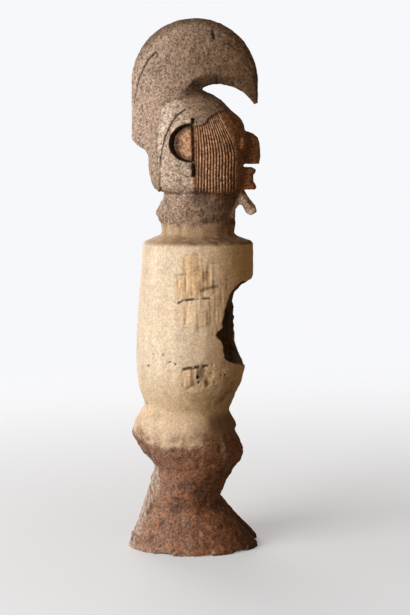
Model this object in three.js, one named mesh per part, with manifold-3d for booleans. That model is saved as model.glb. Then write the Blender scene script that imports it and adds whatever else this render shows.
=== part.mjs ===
// A standing power figure carved from one block of wood: a helmet-like crest that hooks forward over a
// striated face, D-shaped ears, a ringed neck, an armless barrel torso whose belly cavity is broken open at
// the front, flared hips, bent legs and broad half-round feet.
// Units are millimetres. +Z is up, the figure faces -Y and its right hand is on -X. The origin is on the
// ground, midway between the heels and the nose. A side-view point is [forward distance, height].
import * as THREE from "three";
import { mergeVertices } from "three/addons/utils/BufferGeometryUtils.js";
import Module from "manifold-3d";

// Driving dimensions.
const HEIGHT = 520; // soles to the top of the crest
const REACH = 65; // from the middle to the heels, and to the nose
const FOOT_HALF = 57; // half the width over both feet
const LEG_GAP = 6.5; // half the gap between the feet
const LEG_SPINE = 14; // from the middle plane to each leg's front and back edges
const BODY_SIDES = 40; // sides of the torso and neck

const CREST_RADIUS = 61.5; // the crest's outer arc
const CREST_CENTRE = [1.2, HEIGHT - CREST_RADIUS];
const HOOK_RADIUS = 41.9; // the arc below the hook
const HOOK_CENTRE = [23.4, 415.2];

const RIDGES = 14; // carved lines on each cheek
const RIDGE_DEPTH = 1.4;
const CHEEK = [0.03, 0.86]; // the lines' first and last share of the way from the ear to the profile
const JAW_LINE = 355; // the lines run from here
const BROW_LINE = 433; // to here
const HAIR_RISE = 1.7; // how far the hair stands above the skin
const EAR_FACE = 45; // from the middle plane to the ears' outer faces
const EAR_FRONT = -0.6; // forward place of the ears' straight front edges

const wasm = await Module();
wasm.setup();

// A point of the figure from its sideways place, its forward distance and its height.
const at = (x, f, z) => [x, -f, z];

const mix = (a, b, t) => a + (b - a) * t;
const mixPoints = (a, b, t) => a.map((value, i) => mix(value, b[i], t));
const signedPower = (value, power) => Math.sign(value) * Math.abs(value) ** power;
const onArc = ([f, z], radius, degrees) => {
  const turn = THREE.MathUtils.degToRad(degrees);
  return [f + radius * Math.cos(turn), z + radius * Math.sin(turn)];
};

// A solid from a geometry, turned outwards if its faces wind the other way.
function solidOf(geometry) {
  geometry.deleteAttribute("normal");
  geometry.deleteAttribute("uv");
  const merged = mergeVertices(geometry, 1e-4);
  const vertProperties = merged.attributes.position.array;
  const build = (order) => {
    const triVerts = new Uint32Array(order);
    return new wasm.Manifold(new wasm.Mesh({ numProp: 3, vertProperties, triVerts }));
  };
  const index = [...merged.index.array];
  const made = build(index);
  if (made.volume() > 0) return made;
  return build(index.map((_, i) => index[i - (i % 3) + [0, 2, 1][i % 3]]));
}

// A closed solid through rings of equally many points, with both ends filled.
function loft(rings) {
  const sides = rings[0].length;
  const points = rings.flat();
  const faces = [];
  const next = (i) => (i + 1) % sides;
  for (let row = 0; row + 1 < rings.length; row++)
    for (let i = 0; i < sides; i++) {
      const a = row * sides + i;
      const b = row * sides + next(i);
      faces.push([a, b, b + sides], [a, b + sides, a + sides]);
    }
  for (const row of [0, rings.length - 1]) {
    const middle = [0, 1, 2].map((k) => rings[row].reduce((sum, p) => sum + p[k], 0) / sides);
    const hub = points.push(middle) - 1;
    for (let i = 0; i < sides; i++) {
      const a = row * sides + i;
      const b = row * sides + next(i);
      faces.push(row ? [a, b, hub] : [b, a, hub]);
    }
  }
  const geometry = new THREE.BufferGeometry();
  geometry.setAttribute("position", new THREE.Float32BufferAttribute(points.flat(), 3));
  geometry.setIndex(faces.flat());
  return solidOf(geometry);
}

// A ring round the figure between a back and a front side-view point. A power of 2 is an ellipse, and a
// higher one is boxier.
function ring(back, front, half, { power = 2, sides = BODY_SIDES } = {}) {
  const points = [];
  for (let i = 0; i < sides; i++) {
    const turn = (2 * Math.PI * (i + 0.5)) / sides;
    const along = (1 + signedPower(Math.cos(turn), 2 / power)) / 2;
    const across = half * signedPower(Math.sin(turn), 2 / power);
    points.push(at(across, ...mixPoints(back, front, along)));
  }
  return points;
}

// The legs' side view, from the soles up, taken along the edges of the gap between them, and half their width.
const LEGS = [
  // back point, front point, half the width
  [[-REACH, 0], [64.6, 0], FOOT_HALF],
  [[-64.4, 6], [63.4, 4.5], FOOT_HALF - 0.5],
  [[-59.4, 13], [25, 46.5], 44.5], // crease between the foot and the shin
  [[-53, 32], [26.5, 52], 41.5],
  [[-44, 61], [32.2, 65], 43],
  [[-39.3, 80], [42.2, 82], 48],
  [[-49.5, 94.5], [46.3, 88], 51.5],
];

// A leg station stretched so that its ellipse passes through both edges of the gap.
function legStation([back, front, half]) {
  const stretch = 0.5 / Math.sqrt(1 - (LEG_SPINE / half) ** 2);
  return [mixPoints(back, front, 0.5 - stretch), mixPoints(back, front, 0.5 + stretch), half];
}

// The body in one loft, over the hips' sharp ridge and the waist to the neck inside the jaw.
const BODY = [
  ...LEGS.map(legStation),
  [[-61.8, 112], [50, 94.5], 54.5], // ridge of the hips and knees
  [[-60, 118.5], [46, 104], 52.8],
  [[-58.6, 125], [41.8, 113], 50],
  [[-53, 134], [38, 125], 46],
  [[-48.8, 142], [35.2, 136], 42.5], // waist
  [[-51, 149], [40, 149], 45],
  [[-54.7, 162], [46, 161], 50],
  [[-56.5, 176], [50, 174], 53.5],
  [[-57, 192], [52, 192], 55],
  [[-56.5, 215], [54, 215], 56],
  [[-55, 240], [56, 240], 56],
  [[-52.3, 272], [58.5, 270], 55.2],
  [[-50.5, 300.5], [58.3, 301.5], 54.5], // shoulder rim
  [[-48.5, 303.2], [56, 304], 52.8],
  [[-33.5, 309.5], [43, 308.5], 37.5],
  [[-31.5, 312.5], [40, 312], 34.8],
  [[-33.2, 322], [40.5, 322], 35],
  [[-35.3, 327], [40.6, 327], 36],
  [[-37.3, 332], [41, 331.5], 37.2], // the neck's swollen ring
  [[-33.6, 340], [40.4, 340], 35.2],
  [[-30, 346], [40, 347], 33.5],
  [[-28, 356], [38, 356], 31],
];

// The space between the legs: an upright gap that narrows to the crotch, and a flare that opens it to the
// front and back edges of each leg.
function legGap() {
  const crotch = [
    // height, half the gap
    [-3, LEG_GAP],
    [58, LEG_GAP],
    [80, LEG_GAP - 2.2],
    [94, 1.6],
  ];
  const corners = (z, half) => [at(-half, -80, z), at(half, -80, z), at(half, 80, z), at(-half, 80, z)];
  const gap = loft(crotch.map(([z, half]) => corners(z, half)));
  const flareDepth = 9;
  const clear = 3;
  const flare = (end, forward) => {
    const path = LEGS.map((station) => station[end]);
    path[0] = [path[0][0], -clear];
    return loft(
      path.map(([f, z], i) => {
        const half = (LEG_SPINE * (i < path.length - 1 ? 1 : 0.25) * (flareDepth + clear)) / flareDepth;
        const outside = f + forward * clear;
        return [at(0, f - forward * flareDepth, z), at(half, outside, z), at(-half, outside, z)];
      }),
    );
  };
  return gap.add(flare(0, -1)).add(flare(1, 1));
}

// The hollow in the belly, as the space to cut away. Its rim is broken further back on the figure's right.
function bellyHollow() {
  const sides = 24;
  const stations = [
    // forward place, lower edge, upper edge, right wall, left wall
    [75, 162, 272, -68, 56],
    [58.5, 168, 268.5, -68, 54],
    [48.5, 181, 263.2, -68, 49],
    [41.5, 188, 261, -62, 42],
    [37.5, 190, 257, -58, 35],
    [35.5, 190, 250, -56, 33],
    [29, 193, 244, -52.5, 31],
    [21, 197, 238, -46, 30],
    [12, 202, 235, -35, 27],
    [5, 208, 231, -24, 21],
    [2, 214, 225, -13, 11],
  ];
  return loft(
    stations.map(([f, low, high, right, left]) => {
      const points = [];
      for (let i = 0; i < sides; i++) {
        const turn = (2 * Math.PI * i) / sides;
        const across = (1 + signedPower(Math.cos(turn), 0.75)) / 2;
        const up = (1 + signedPower(Math.sin(turn), 0.75)) / 2;
        points.push(at(mix(right, left, across), f, mix(low, high, up)));
      }
      return points;
    }),
  );
}

// The wedge low on the belly, above the knees.
function loinWedge() {
  const stations = [
    // height, front, half the width
    [136.5, 34.5, 2.5],
    [129, 38.5, 4.8],
    [119.5, 42.4, 5.8],
    [114, 39.6, 4.2],
  ];
  return loft(stations.map(([z, front, half]) => ring([28, z], [front, z], half, { sides: 10 })));
}

// The skull's side view and width: height, back, front, half the width.
const SKULL = [
  [350.5, -26, 40, 30],
  [353, -31.5, 43.8, 35],
  [357.5, -37.6, 46, 37.7],
  [364, -40.2, 47, 39.2],
  [376, -42, 48.6, 40.6],
  [388, -42.8, 49.6, 41],
  [400, -43, 50, 41],
  [410, -43, 50.2, 40.3],
  [416.5, -43, 49, 39.5],
  [423, -43, 45.6, 38.3],
  [429.5, -42.8, 38.6, 36.5],
  [436, -42, 31, 33],
  [442, -40, 22.5, 28],
  [447, -38, 13, 21.5],
  [451, -35, 3.5, 14],
  [454, -30, -4, 7],
];
const SKULL_POWER = 2.7;
const CHEEK_START = 1; // forward distance at which the cheeks begin

// The skull's half width at a forward distance and a height, grown by a given amount.
function skullHalf(f, z, grow = 0) {
  const after = Math.max(1, SKULL.findIndex((row) => row[0] >= z));
  const [below, above] = [SKULL[after - 1], SKULL[after]];
  const [, back, front, half] = mixPoints(below, above, (z - below[0]) / (above[0] - below[0]));
  const share = Math.abs(2 * f - back - front) / (front - back + 2 * grow);
  return (half + grow) * Math.max(0, 1 - share ** SKULL_POWER) ** (1 / SKULL_POWER);
}

// The skull, with upright lines cut into the cheeks. Each line keeps its share of the way from the ear to
// the profile, so that the lines lean back with the forehead.
function skull() {
  const behind = 9; // points on each side behind the cheek
  return loft(
    SKULL.map(([z, back, front]) => {
      const start = Math.min(CHEEK_START, front - 2);
      const side = [];
      for (let i = 0; i < behind; i++) {
        const turn = (Math.PI / 2) * ((i + 0.5) / behind);
        const f = mix(start, back, Math.cos(turn));
        side.push([f, skullHalf(f, z)]);
      }
      const cut = z < JAW_LINE || z > BROW_LINE ? 0 : RIDGE_DEPTH;
      for (let i = 0; i <= 2 * RIDGES; i++) {
        const f = mix(start, front, mix(...CHEEK, i / (2 * RIDGES)));
        side.push([f, skullHalf(f, z) - (i % 2 ? 0 : cut)]);
      }
      for (const share of [0.93, 0.985]) {
        const f = mix(start, front, share);
        side.push([f, skullHalf(f, z)]);
      }
      const right = side.map(([f, x]) => at(-x, f, z));
      const left = side.reverse().map(([f, x]) => at(x, f, z));
      return [...right, ...left];
    }),
  );
}

// A side-view outline, extruded sideways between two distances from the middle plane.
function slab(outline, from, to) {
  const shape = new THREE.Shape(outline.map(([f, z]) => new THREE.Vector2(f, z)));
  const geometry = new THREE.ExtrudeGeometry(shape, { depth: to - from, bevelEnabled: false });
  const [forward, up, sideways] = [at(0, 1, 0), at(0, 0, 1), at(1, 0, 0)];
  const upright = new THREE.Matrix4().makeBasis(
    new THREE.Vector3(...forward),
    new THREE.Vector3(...up),
    new THREE.Vector3(...sideways),
  );
  geometry.applyMatrix4(upright);
  geometry.translate(from, 0, 0);
  return solidOf(geometry);
}

// The raised hair: the crown above the hairline, and the back of the head behind the ears.
const BEHIND_EAR = [[-7, 431.7], [-15.6, 426.1], [-21.3, 417.6], [-27.6, 403.4], [-31.9, 384.7], [-33, 356]];
const HAIRLINE = [[36, 433], [31.1, 430.8], [23.5, 428.4], [14.9, 423.2], [9.7, 417.1], [-3, 414.7], [-3, 427]];
function hair() {
  const rings = SKULL.map(([z, back, front, half]) => {
    const rounds = { power: SKULL_POWER, sides: 36 };
    return ring([back - HAIR_RISE, z], [front + HAIR_RISE, z], half + HAIR_RISE, rounds);
  });
  const outline = [[36, 470], ...HAIRLINE, ...BEHIND_EAR, [-60, 356], [-60, 470]];
  return loft(rings).intersect(slab(outline, -FOOT_HALF, FOOT_HALF));
}

// The crest. Each station joins a point of its outer edge to a point below it: under the hook those lie on
// the hook's arc, and behind it they lie inside the skull.
function crest() {
  const stations = [];
  const tip = 0.02;
  const root = 0.56;
  const hookSteps = 11;
  for (let i = 0; i <= hookSteps; i++) {
    const t = mix(tip, 1, i / hookSteps);
    const outer = outerEdge(mix(-17, 115, t));
    const inner = onArc(HOOK_CENTRE, HOOK_RADIUS, mix(32, 119, t));
    stations.push({ outer, inner, along: t * root });
  }
  const buried = [[-3, 442], [-8, 434], [-13, 426], [-17, 417], [-20, 408], [-22, 399]];
  const turns = [130, 146, 163, 180, 204, 231];
  buried.forEach((inner, i) => {
    stations.push({ outer: outerEdge(turns[i]), inner, along: mix(root, 1, (i + 1) / buried.length) });
  });
  stations.push({ outer: [-55.8, 398], inner: [-24, 385], along: 1 });
  return loft(stations.map(crestRing));
}

// The crest's outer edge: an arc that runs on straight down at both ends.
function outerEdge(degrees) {
  if (degrees >= 0 && degrees <= 180) return onArc(CREST_CENTRE, CREST_RADIUS, degrees);
  const over = degrees < 0 ? -degrees : degrees - 180;
  const [f, z] = onArc(CREST_CENTRE, CREST_RADIUS, degrees < 0 ? 0 : 180);
  return [f, z - CREST_RADIUS * THREE.MathUtils.degToRad(over)];
}

// The crest's section: a narrow ridge, a sloping band down to an edge line, and flanks that widen down.
function crestRing({ outer, inner, along }) {
  const length = Math.hypot(outer[0] - inner[0], outer[1] - inner[1]);
  const swell = Math.sin((Math.PI / 2) * Math.min(1, along / 0.5));
  const band = Math.min(length * 0.35, mix(16, 5, Math.max(0, (along - 0.6) / 0.4)));
  const ridgeHalf = mix(1.2, 3, swell);
  const bandHalf = mix(2.2, 12.5, swell);
  const flankHalf = mix(2.4, mix(15, 27, Math.max(0, (along - 0.35) / 0.4)), swell);
  const profile = [
    // height above the lower point, half the width
    [length, ridgeHalf],
    [length - band * 0.45, mix(ridgeHalf, bandHalf, 0.6)],
    [length - band, bandHalf],
    [length * 0.42, mix(bandHalf, flankHalf, 0.45)],
    [length * 0.14, flankHalf * 0.97],
    [0, flankHalf * 0.6],
  ];
  const place = (side) => ([above, x]) => at(side * x, ...mixPoints(inner, outer, above / length));
  return [...profile.map(place(-1)), ...profile.reverse().map(place(1))];
}

// The line carved down the back hair, as the space to cut away on one side.
function hairCrease(side) {
  const path = [[-28, 440], [-30.9, 430.9], [-34.8, 413.8], [-36.8, 392.9], [-35.5, 369]];
  const width = 2.6;
  const depth = 1.8;
  return loft(
    path.map(([f, z]) => {
      const x = skullHalf(f, z, HAIR_RISE);
      return [at(side * (x - depth), f, z), at(side * (x + 9), f + width, z), at(side * (x + 9), f - width, z)];
    }),
  );
}

// A solid ellipsoid from its centre and its three radii.
function ellipsoid([x, f, z], [across, forward, up], rounds = [16, 9]) {
  const geometry = new THREE.SphereGeometry(1, ...rounds);
  geometry.scale(across, forward, up);
  geometry.translate(...at(x, f, z));
  return solidOf(geometry);
}

// Half an ellipse with its straight side at the front: an ear's outline or its bowl's.
function halfEllipse(front, z, depth, half, steps = 12) {
  const points = [];
  for (let i = 0; i <= steps; i++) {
    const turn = (Math.PI * i) / steps;
    points.push([front - depth * Math.sin(turn), z + half * Math.cos(turn)]);
  }
  return points;
}

// The ear's plate, standing out of the head.
function ear(side) {
  const inside = side * (EAR_FACE - 12);
  const [from, to] = [inside, side * EAR_FACE].sort((a, b) => a - b);
  return slab(halfEllipse(EAR_FRONT, 395.3, 24.6, 28), from, to);
}

// The spaces cut from an ear and beside it: the bowl, and the upright slot in front of it.
function earHollow(side) {
  const outside = side * (EAR_FACE + 8);
  const [from, to] = [0, outside].sort((a, b) => a - b);
  const behindSlot = slab(halfEllipse(EAR_FRONT - 1.4, 399.5, 40, 40), from, to);
  const bowl = ellipsoid([side * EAR_FACE, EAR_FRONT - 2, 399.5], [8, 20, 18.2]).intersect(behindSlot);
  const floor = side * (skullHalf(EAR_FRONT, 395.3) - 4);
  const [slotFrom, slotTo] = [floor, outside].sort((a, b) => a - b);
  const slotOutline = [[-1.8, 367.5], [1.1, 367.5], [1.1, 423], [-1.8, 423]];
  return bowl.add(slab(slotOutline, slotFrom, slotTo));
}

function nose() {
  const stations = [
    // height, front, half the width
    [379.5, 64.2, 9.5],
    [392, REACH + 0.2, 9.3],
    [399, 64.5, 8.4],
    [404.5, 63, 7.2],
    [409.5, 57, 6],
    [411.5, 50.5, 4.8],
  ];
  return loft(stations.map(([z, front, half]) => ring([42, z], [front, z], half, { power: 3.2, sides: 14 })));
}

// The jutting mouth: two lips with a recess between them.
function mouth() {
  const stations = [
    // height, front, half the width
    [354.5, 60, 12.4],
    [356.8, 61.3, 13],
    [359.5, 60.6, 13],
    [362, 58.8, 12.6],
    [368.5, 58.8, 12.6],
    [370.5, 60.6, 13],
    [373, 61.3, 13],
    [376, 57, 12],
  ];
  return loft(stations.map(([z, front, half]) => ring([42, z], [front, z], half, { power: 3, sides: 16 })));
}

// The beard: a tongue that slants forward from below the chin, and the web that ties it to the neck.
function beard() {
  const stations = [
    // lower point, upper point, half the width
    [[39, 351], [46, 358], 12.5],
    [[43.5, 345.5], [51, 351.5], 13],
    [[47.5, 338], [56, 343], 13.5],
    [[52, 331.8], [61, 336], 13],
    [[54.8, 330], [61.6, 333.2], 11.5],
  ];
  const tongue = loft(stations.map(([low, high, half]) => ring(low, high, half, { power: 3, sides: 14 })));
  return tongue.add(slab([[36, 353], [36, 333], [41, 335.5], [48, 343], [48, 353]], -9, 9));
}

function figure() {
  const sides = [-1, 1];
  const eye = (side) => ellipsoid([side * 17, 46.2, 398.3], [10, 4.6, 8.2], [14, 8]);
  let head = skull().add(hair());
  for (const side of sides) head = head.subtract(hairCrease(side)).add(ear(side)).add(eye(side));
  head = head.add(crest());
  for (const side of sides) head = head.subtract(earHollow(side));
  head = head.add(nose()).add(mouth()).add(beard());
  const body = loft(BODY.map(([back, front, half]) => ring(back, front, half)));
  return body.subtract(legGap()).subtract(bellyHollow()).add(loinWedge()).add(head);
}

// The solid as a geometry with flat faces.
function geometryOf(manifold) {
  const { numProp, vertProperties, triVerts } = manifold.getMesh();
  const indexed = new THREE.BufferGeometry();
  const positions = new THREE.InterleavedBuffer(vertProperties, numProp);
  indexed.setAttribute("position", new THREE.InterleavedBufferAttribute(positions, 3, 0));
  indexed.setIndex(new THREE.BufferAttribute(triVerts, 1));
  const flat = indexed.toNonIndexed();
  flat.computeVertexNormals();
  return flat;
}

const wood = new THREE.MeshStandardMaterial({ color: 0x8a6648, roughness: 0.8, metalness: 0 });
const carvedFigure = new THREE.Mesh(geometryOf(figure()), wood);
carvedFigure.name = "carved_figure";

const group = new THREE.Group();
group.add(carvedFigure);
export default group;
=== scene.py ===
"""A carved wooden power figure, sculpted on a grid of distances and finished as weathered, crusted wood.

The figure is modelled in millimetres as (x, f, z): x is sideways, f is the distance forward and z is the
height above the soles. Solid parts are lofted, turned into fields of signed distance, joined and cut there,
and the surface is taken off the finished field. Forward is -Y in the scene.
"""

import math

import bpy
import numpy as np
import openvdb
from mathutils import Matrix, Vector


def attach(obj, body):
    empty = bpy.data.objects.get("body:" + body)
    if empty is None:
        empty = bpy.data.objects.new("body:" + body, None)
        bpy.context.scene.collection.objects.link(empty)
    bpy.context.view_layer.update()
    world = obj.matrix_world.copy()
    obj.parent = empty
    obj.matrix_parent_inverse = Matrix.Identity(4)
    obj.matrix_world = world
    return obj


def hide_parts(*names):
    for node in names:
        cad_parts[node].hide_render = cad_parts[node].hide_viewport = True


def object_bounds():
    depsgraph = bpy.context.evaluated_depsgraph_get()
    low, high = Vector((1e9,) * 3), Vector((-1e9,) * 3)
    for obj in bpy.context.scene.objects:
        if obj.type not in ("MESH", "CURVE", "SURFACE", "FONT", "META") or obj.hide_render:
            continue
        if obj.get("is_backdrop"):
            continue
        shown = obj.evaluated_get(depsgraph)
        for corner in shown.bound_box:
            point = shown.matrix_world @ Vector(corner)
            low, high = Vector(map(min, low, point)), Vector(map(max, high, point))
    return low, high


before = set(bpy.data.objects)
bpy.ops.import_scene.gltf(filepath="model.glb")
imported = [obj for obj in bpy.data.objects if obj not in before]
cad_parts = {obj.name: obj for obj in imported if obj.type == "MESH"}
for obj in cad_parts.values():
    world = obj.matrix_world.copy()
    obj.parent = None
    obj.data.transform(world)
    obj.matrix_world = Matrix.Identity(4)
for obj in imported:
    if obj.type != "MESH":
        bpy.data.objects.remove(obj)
cad_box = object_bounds()

# Driving dimensions, in millimetres.
HEIGHT = 520.0
REACH = 65.0
FOOT_HALF = 57.0
LEG_GAP = 6.5
LEG_SPINE = 14.0
CREST_RADIUS = 61.5
CREST_CENTRE = (1.2, HEIGHT - CREST_RADIUS)
HOOK_RADIUS = 41.9
HOOK_CENTRE = (23.4, 415.2)
RIDGES = 14
RIDGE_DEPTH = 1.5
CHEEK = (0.03, 0.86)
CHEEK_START = 1.0
JAW_LINE = 353.5
HAIR_RISE = 1.7
EAR_FACE = 45.0
EAR_FRONT = -0.6
EAR_HEIGHT = 395.3
BOWL_HEIGHT = 399.5
SKULL_POWER = 2.7

VOXEL = 0.65
BAND = 6.0
LOFT_SPACING = 1.5
LOFT_SIDES = 240
TRIANGLES = 190000

# Side views: back point (f, z), front point (f, z), half the width.
LEGS = [
    (-REACH, 0, 64.6, 0, FOOT_HALF),
    (-64.4, 6, 63.4, 4.5, FOOT_HALF - 0.5),
    (-59.4, 13, 25, 46.5, 44.5),
    (-53, 32, 26.5, 52, 41.5),
    (-44, 61, 32.2, 65, 43),
    (-39.3, 80, 42.2, 82, 48),
    (-49.5, 94.5, 46.3, 88, 51.5),
]
TRUNK = [
    (-61.8, 112, 50, 94.5, 54.5),
    (-60, 118.5, 46, 104, 52.8),
    (-58.6, 125, 41.8, 113, 50),
    (-53, 134, 38, 125, 46),
    (-48.8, 142, 35.2, 136, 42.5),
    (-51, 149, 40, 149, 45),
    (-54.7, 162, 46, 161, 50),
    (-56.5, 176, 50, 174, 53.5),
    (-57, 192, 52, 192, 55),
    (-56.5, 215, 54, 215, 56),
    (-55, 240, 56, 240, 56),
    (-52.3, 272, 58.5, 270, 55.2),
    (-50.5, 300.5, 58.3, 301.5, 54.5),
    (-48.5, 303.2, 56, 304, 52.8),
    (-33.5, 309.5, 43, 308.5, 37.5),
    (-31.5, 312.5, 40, 312, 34.8),
    (-33.2, 322, 40.5, 322, 35),
    (-35.3, 327, 40.6, 327, 36),
    (-37.3, 332, 41, 331.5, 37.2),
    (-33.6, 340, 40.4, 340, 35.2),
    (-30, 346, 40, 347, 33.5),
    (-28, 356, 38, 356, 31),
]
BODY_CORNERS = (0, 1, 2, 7, 12 + len(LEGS), 13 + len(LEGS), 14 + len(LEGS))

# Height, back, front, half the width.
SKULL = [
    (350.5, -26, 40, 30),
    (353, -31.5, 43.8, 35),
    (357.5, -37.6, 46, 37.7),
    (364, -40.2, 47, 39.2),
    (376, -42, 48.6, 40.6),
    (388, -42.8, 49.6, 41),
    (400, -43, 50, 41),
    (410, -43, 50.2, 40.3),
    (416.5, -43, 49, 39.5),
    (423, -43, 45.6, 38.3),
    (429.5, -42.8, 38.6, 36.5),
    (436, -42, 31, 33),
    (442, -40, 22.5, 28),
    (447, -38, 13, 21.5),
    (451, -35, 3.5, 14),
    (454, -30, -4, 7),
]
# The belly hollow: forward place, lower edge, upper edge, right wall, left wall.
HOLLOW = [
    (75, 162, 272, -68, 56),
    (58.5, 168, 268.5, -68, 54),
    (48.5, 181, 263.2, -68, 49),
    (41.5, 188, 261, -62, 42),
    (37.5, 190, 257, -58, 35),
    (35.5, 190, 250, -56, 33),
    (29, 193, 244, -52.5, 31),
    (21, 197, 238, -46, 30),
    (12, 202, 235, -35, 27),
    (5, 208, 231, -24, 21),
    (2, 214, 225, -13, 11),
]
# Where the belly surface ends round the hollow, on the right and on the left: height, forward place.
RIM_RIGHT = [
    (160, 70), (172, 54), (177, 50), (179, 46), (180, 41), (182, 36.5), (187.4, 34), (192.2, 32.7), (197.9, 31.5),
    (204.3, 29.9), (210.8, 26.7), (215.5, 21.5), (218, 22.5), (222.8, 27.1), (230.8, 28.3), (239.7, 29.9),
    (246.1, 33.1), (250.9, 35.9), (257.1, 38.4), (261.2, 42.4), (262.4, 46.5), (264.5, 51.3), (267.7, 54.6),
    (271, 58), (276, 70),
]
RIM_LEFT = [
    (160, 70), (170.6, 51), (176.5, 48.6), (180.8, 45.2), (184.2, 41), (189.3, 42.3), (196, 42.7), (209.2, 41.5),
    (217.6, 40.2), (226.1, 40.2), (234.6, 39.7), (242.2, 38), (249, 36.5), (257.1, 38.4), (261.2, 42.4),
    (264.5, 51.3), (267.7, 54.6), (271, 58), (276, 70),
]
BEHIND_EAR = [(-7, 431.7), (-15.6, 426.1), (-21.3, 417.6), (-27.6, 403.4), (-31.9, 384.7), (-33, 343)]
HAIRLINE = [(60, 433.5), (36, 433), (31.1, 430.8), (23.5, 428.4), (14.9, 423.2), (9.7, 417.1), (-3, 414.7), (-3, 427)]

# How far forward the fan of cheek ridges reaches, by height.
RIDGE_FAN = [(354, 48.5), (388, 49), (396, 47), (404, 43.2), (410, 39.5), (416, 35.5), (423, 31), (432, 26)]

# Traces on the body, in side view, nearly alike on both sides.
CREST_LINE_BACK = [(-36.6, 486.6), (-43.1, 480.2), (-48.3, 470.8), (-52.7, 460.5), (-55.8, 448.5), (-57.1, 438)]
CREST_LINE_TOP = [(-17.8, 499.5), (-4.1, 502.5), (16.6, 502.9)]
CREST_LINE_FRONT = [(29.5, 496.1), (35.6, 493.6), (39.9, 491.0)]
CREST_NOTCH = [(18.6, 507), (20.2, 500.4)]
NECK_CREASE = [
    (-15.4, 442), (-24.1, 438.9), (-29.6, 435), (-32, 427.9), (-33.2, 420), (-34.9, 410.6), (-34.9, 391.6),
    (-34.2, 367.9),
]
SCAR_UPPER = [
    (-9.8, 293.4), (7.6, 293.4), (8.4, 284), (15.5, 277.6), (21, 268), (22, 256), (15.5, 252.1),
    (-1.9, 252.1), (-13.8, 248.2), (-16.2, 260.1), (-19.3, 272), (-10, 275),
]
SCAR_MIDDLE = [(-15.4, 247.5), (15.5, 249.1), (16.3, 236.3), (15.5, 228.4), (5.2, 224.4), (-13, 223.6)]
SCAR_LOWER = [
    (-8.4, 183.7), (-0.4, 185.3), (13.1, 186.9), (18.7, 184.5), (18.7, 171.6), (7.5, 165.2), (-5.2, 165.2),
    (-10, 171.6),
]
FRAYED = [
    (15, 290), (27, 282), (34, 262), (31, 245), (27, 225), (24, 214), (14, 215), (-4, 217), (-14, 224), (-17, 262),
]
LEDGE = [(-13.8, 247.8), (-9.8, 249.9), (-1.9, 251.4), (7.6, 251.8), (16, 251.5)]
SCAR_LOWER_EDGE = [(-9, 183.7), (-0.4, 185.3), (13.1, 186.9)]
UPPER_CUT = [(-21.7, 273.6), (-13, 274.4), (-5.1, 275.2)]
BLOTCH = [(7.6, 259.7), (15.5, 262.1), (23.4, 263.7)]
SCRATCHES = [[(15.5, 288.6), (29, 288.4)], [(14, 286), (27, 286.2)]]
# Worm holes and pits: place, radius and depth.
PITS = [
    (-38.7, 196.7, 1.1, 0.5),
    (-29.1, 196.7, 1.3, 0.6),
    (-23.6, 189.8, 0.9, 1.0),
    (-22, 190.4, 0.8, 0.9),
    (-17.2, 188.2, 1.0, 1.0),
    (-43.9, 184.2, 1.3, 0.9),
    (26.7, 176.1, 0.9, 1.4),
    (30.7, 176.5, 0.8, 1.2),
    (4.4, 175.5, 1.5, 2.2),
    (5.3, 170.2, 1.0, 1.6),
]


def mix(a, b, t):
    return a + (b - a) * t


def ramp(low, high, value):
    """0 below low, 1 above high, and a smooth step between."""
    t = np.clip((value - low) / (high - low), 0, 1)
    return t * t * (3 - 2 * t)


def signed_power(value, power):
    return np.sign(value) * np.abs(value) ** power


def on_arc(centre, radius, degrees):
    turn = np.radians(degrees)
    return np.stack([centre[0] + radius * np.cos(turn), centre[1] + radius * np.sin(turn)], -1)


def smooth_stretch(rows, spacing):
    """Rows along a smooth curve through the given ones, which never swings past them."""
    steps = np.linalg.norm(np.diff(rows, axis=0), axis=1)
    place = np.concatenate([[0], np.cumsum(steps)])
    slopes = np.diff(rows, axis=0) / steps[:, None]
    tangents = np.zeros_like(rows)
    product = slopes[:-1] * slopes[1:]
    total = np.where(product > 0, slopes[:-1] + slopes[1:], 1)
    tangents[1:-1] = np.where(product > 0, 2 * product / total, 0)
    tangents[0], tangents[-1] = slopes[0], slopes[-1]
    along = np.linspace(0, place[-1], max(2, int(place[-1] / spacing) + 1))
    k = np.clip(np.searchsorted(place, along, side="right") - 1, 0, len(steps) - 1)
    h = steps[k][:, None]
    t = (along - place[k])[:, None] / h
    start = (1 + 2 * t) * (1 - t) ** 2 * rows[k] + t * (1 - t) ** 2 * h * tangents[k]
    end = t * t * (3 - 2 * t) * rows[k + 1] + t * t * (t - 1) * h * tangents[k + 1]
    return start + end


def smooth_rows(rows, spacing=LOFT_SPACING, corners=()):
    """The same, bending sharply at the rows whose numbers are in corners."""
    rows = np.array(rows, float)
    cuts = sorted({0, len(rows) - 1, *corners})
    parts = [smooth_stretch(rows[a : b + 1], spacing) for a, b in zip(cuts, cuts[1:])]
    return np.concatenate([part[:-1] for part in parts] + [parts[-1][-1:]])


def loft(rings):
    """Points, quads and end triangles of a closed solid through rings of equally many points."""
    count, sides, _ = rings.shape
    i = np.arange(sides)
    j = (i + 1) % sides
    base = sides * np.arange(count - 1)[:, None]
    quads = np.stack([base + i, base + j, base + sides + j, base + sides + i], -1).reshape(-1, 4)
    last = (count - 1) * sides
    hubs = count * sides
    fans = np.concatenate(
        [
            np.stack([np.full(sides, hubs), j, i], -1),
            np.stack([np.full(sides, hubs + 1), last + i, last + j], -1),
        ]
    )
    points = np.concatenate([rings.reshape(-1, 3), rings[[0, -1]].mean(1)])
    return points, quads, fans


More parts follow.
